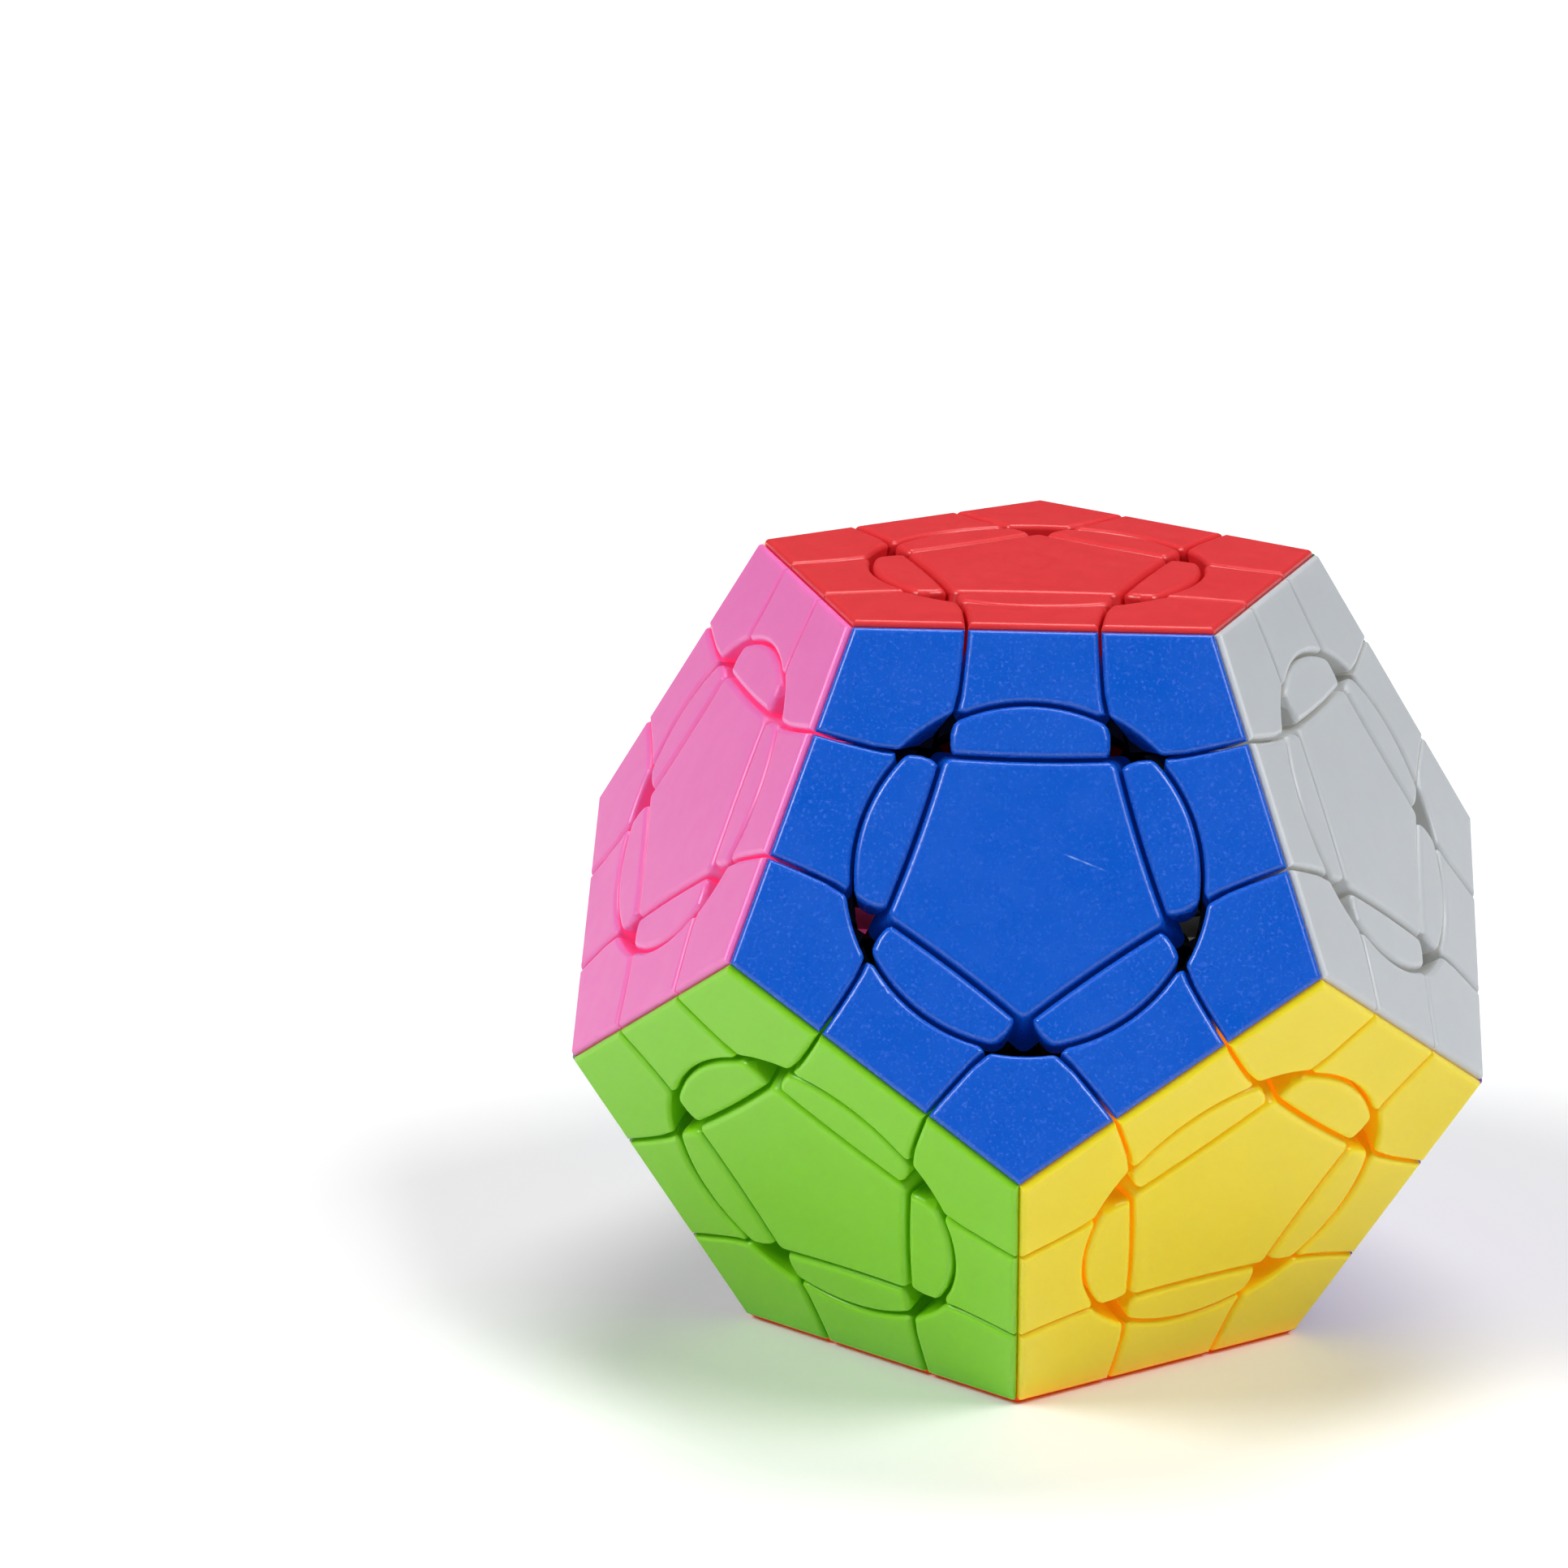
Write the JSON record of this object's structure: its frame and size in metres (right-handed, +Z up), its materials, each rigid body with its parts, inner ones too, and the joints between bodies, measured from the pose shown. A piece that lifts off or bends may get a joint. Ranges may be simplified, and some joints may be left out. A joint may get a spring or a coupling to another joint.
{
  "type": "dodecahedron twisty puzzle",
  "caption": "Dodecahedron twisty puzzle with a still circle of petals on every coloured face; face layers turn on a screwed and sprung core.",
  "frame": {"origin": "the centre of the bottom face, on the surface the puzzle stands on", "axes": "+Z up, from the orange face to the red face; -Y towards the front, where the blue face leans back; +X to the right. The centre of the puzzle is on +Z."},
  "size_m": [0.0856, 0.09, 0.0735],
  "materials": {
    "black_plastic": "moulded black plastic",
    "blue_plastic": "plastic coloured right through, satin with a fine grain",
    "cream_plastic": "plastic coloured right through, satin with a fine grain",
    "dark_green_plastic": "plastic coloured right through, satin with a fine grain",
    "grey_plastic": "plastic coloured right through, satin with a fine grain",
    "lime_plastic": "plastic coloured right through, satin with a fine grain",
    "orange_plastic": "plastic coloured right through, satin with a fine grain",
    "pink_plastic": "plastic coloured right through, satin with a fine grain",
    "purple_plastic": "plastic coloured right through, satin with a fine grain",
    "red_plastic": "plastic coloured right through, satin with a fine grain",
    "sky_blue_plastic": "plastic coloured right through, satin with a fine grain",
    "steel": "zinc-plated steel",
    "white_plastic": "plastic coloured right through, satin with a fine grain",
    "yellow_plastic": "plastic coloured right through, satin with a fine grain"
  },
  "bodies": {
    "puzzle": {"blue_centre_cap": "blue_plastic", "blue_petals": "blue_plastic", "blue_rim_tiles": "blue_plastic", "centre_bases": "black_plastic", "core": "black_plastic", "corner_feet": "black_plastic", "cream_centre_cap": "cream_plastic", "cream_tiles": "cream_plastic", "dark_green_centre_cap": "dark_green_plastic", "dark_green_tiles": "dark_green_plastic", "edge_feet": "black_plastic", "grey_centre_cap": "grey_plastic", "grey_tiles": "grey_plastic", "lime_centre_cap": "lime_plastic", "lime_petals": "lime_plastic", "lime_rim_tiles": "lime_plastic", "orange_centre_cap": "orange_plastic", "orange_petals": "orange_plastic", "pink_centre_cap": "pink_plastic", "pink_petals": "pink_plastic", "purple_centre_cap": "purple_plastic", "purple_tiles": "purple_plastic", "red_centre_cap": "red_plastic", "red_petals": "red_plastic", "red_rim_tiles": "red_plastic", "screws": "steel", "sky_blue_centre_cap": "sky_blue_plastic", "sky_blue_tiles": "sky_blue_plastic", "springs": "steel", "washers": "steel", "white_centre_cap": "white_plastic", "white_petals": "white_plastic", "yellow_centre_cap": "yellow_plastic", "yellow_petals": "yellow_plastic", "yellow_rim_tiles": "yellow_plastic"},
    "pink_layer": {"pink_layer_blue_tiles": "blue_plastic", "pink_layer_corner_feet": "black_plastic", "pink_layer_cream_tiles": "cream_plastic", "pink_layer_edge_feet": "black_plastic", "pink_layer_grey_tiles": "grey_plastic", "pink_layer_lime_tiles": "lime_plastic", "pink_layer_red_tiles": "red_plastic", "pink_layer_rim_tiles": "pink_plastic"},
    "white_layer": {"white_layer_blue_tiles": "blue_plastic", "white_layer_corner_feet": "black_plastic", "white_layer_dark_green_tiles": "dark_green_plastic", "white_layer_edge_feet": "black_plastic", "white_layer_purple_tiles": "purple_plastic", "white_layer_red_tiles": "red_plastic", "white_layer_rim_tiles": "white_plastic", "white_layer_yellow_tiles": "yellow_plastic"},
    "orange_layer": {"orange_layer_corner_feet": "black_plastic", "orange_layer_edge_feet": "black_plastic", "orange_layer_grey_tiles": "grey_plastic", "orange_layer_lime_tiles": "lime_plastic", "orange_layer_purple_tiles": "purple_plastic", "orange_layer_rim_tiles": "orange_plastic", "orange_layer_sky_blue_tiles": "sky_blue_plastic", "orange_layer_yellow_tiles": "yellow_plastic"}
  },
  "joints": [
    {"name": "pink_layer_turn", "type": "hinge", "parent": "puzzle", "child": "pink_layer", "pos_m": [0, 0, 0.03675], "axis": [-0.8507, -0.2764, 0.4472], "continuous": true},
    {"name": "white_layer_turn", "type": "hinge", "parent": "puzzle", "child": "white_layer", "pos_m": [0, 0, 0.03675], "axis": [0.8507, -0.2764, 0.4472], "continuous": true},
    {"name": "orange_layer_turn", "type": "hinge", "parent": "puzzle", "child": "orange_layer", "pos_m": [0, 0, 0.03675], "axis": [0, 0, -1], "continuous": true}
  ]
}
